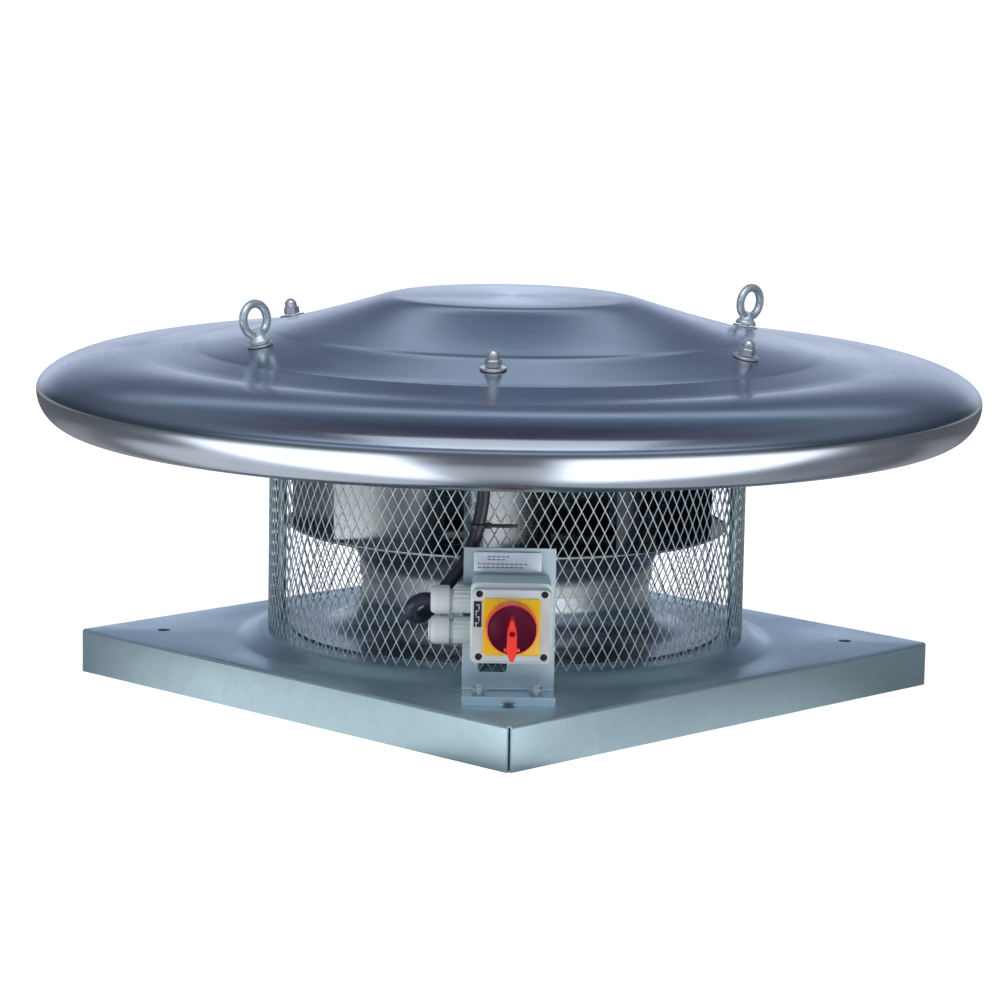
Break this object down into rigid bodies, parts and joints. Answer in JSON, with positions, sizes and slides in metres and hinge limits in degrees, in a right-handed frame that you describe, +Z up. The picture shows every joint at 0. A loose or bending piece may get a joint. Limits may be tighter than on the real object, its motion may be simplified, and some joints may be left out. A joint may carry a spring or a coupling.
{
  "type": "roof exhaust fan",
  "caption": "Roof exhaust fan: square base, mesh-guarded impeller under its motor, wide spun cowl with lifting eyes, and an isolator switch on a bracket at one corner.",
  "frame": {"origin": "bottom centre of the square base", "axes": "+Z up along the fan's axis; +X and +Y square to the base's sides; the isolator switch faces out of the +X, -Y corner"},
  "size_m": [0.869, 0.869, 0.3628],
  "materials": {
    "galvanised_sheet": "satin galvanised sheet",
    "guard_aluminium": "satin expanded sheet",
    "spun_aluminium": "satin, faint spinning rings",
    "impeller_aluminium": "satin mill finish",
    "stainless_steel": "polished stainless steel",
    "zinc_plated_steel": "bright zinc plate",
    "bright_steel": "ground steel",
    "motor_paint": "dark grey satin paint",
    "rotor_core": "laminated core",
    "stator_winding": "laminated core and copper winding",
    "pale_grey_plastic": "fine satin texture",
    "yellow_plastic": "semi-gloss",
    "red_plastic": "semi-gloss",
    "black_plastic": "satin",
    "cable_rubber": "satin sheath",
    "label_foil": "satin foil"
  },
  "bodies": {
    "frame": {"base_plate": "galvanised_sheet", "inlet_cone": "galvanised_sheet", "guard_mesh": "guard_aluminium", "support_leg_1": "galvanised_sheet", "support_leg_2": "galvanised_sheet", "support_leg_3": "galvanised_sheet", "support_leg_4": "galvanised_sheet", "motor_plate": "galvanised_sheet", "cable_grommet": "cable_rubber", "cowl": "spun_aluminium", "cowl_bracket_1": "galvanised_sheet", "cowl_bracket_2": "galvanised_sheet", "cowl_bracket_3": "galvanised_sheet", "cowl_bracket_4": "galvanised_sheet", "cowl_bracket_5": "galvanised_sheet", "cowl_bracket_6": "galvanised_sheet", "cowl_washer_1": "stainless_steel", "cowl_washer_2": "stainless_steel", "cowl_washer_3": "stainless_steel", "cowl_washer_4": "stainless_steel", "cowl_washer_5": "stainless_steel", "cowl_washer_6": "stainless_steel", "cap_nut_1": "stainless_steel", "cap_nut_2": "stainless_steel", "cap_nut_3": "stainless_steel", "cap_nut_4": "stainless_steel", "lifting_eye_1": "zinc_plated_steel", "lifting_eye_2": "zinc_plated_steel", "drive_end_shield": "motor_paint", "drive_bearing": "bright_steel", "motor_housing": "motor_paint", "stator": "stator_winding", "rear_end_shield": "motor_paint", "rear_bearing": "bright_steel", "fan_cover": "motor_paint", "terminal_box": "motor_paint", "terminal_box_lid": "motor_paint", "motor_gland": "pale_grey_plastic", "switch_bracket": "galvanised_sheet", "bracket_bolt_1": "zinc_plated_steel", "bracket_bolt_2": "zinc_plated_steel", "rating_label": "label_foil", "switch_box": "pale_grey_plastic", "switch_lid": "pale_grey_plastic", "switch_plate": "yellow_plastic", "contact_block": "black_plastic", "upper_gland": "pale_grey_plastic", "lower_gland": "pale_grey_plastic", "blanking_plug": "pale_grey_plastic", "motor_cable": "cable_rubber", "cable_tie": "black_plastic"},
    "fan_rotor": {"impeller": "impeller_aluminium", "impeller_hub": "impeller_aluminium", "hub_bolt": "zinc_plated_steel", "motor_shaft": "bright_steel", "rotor": "rotor_core", "cooling_fan": "black_plastic"},
    "handle": {"switch_handle": "red_plastic", "switch_shaft": "bright_steel"},
    "padlock": {"padlock_slide": "red_plastic"}
  },
  "joints": [
    {"name": "impeller_spin", "type": "hinge", "parent": "frame", "child": "fan_rotor", "pos_m": [0, 0, 0.18], "axis": [0, 0, 1], "continuous": true},
    {"name": "switch_turn", "type": "hinge", "parent": "frame", "child": "handle", "pos_m": [0.17953, -0.17727, 0.1076], "axis": [0.7071, -0.7071, 0], "range_deg": [0, 90]},
    {"name": "padlock_pull", "type": "slide", "parent": "handle", "child": "padlock", "axis": [0, 0, -1], "range_m": [0, 0.0045]}
  ]
}
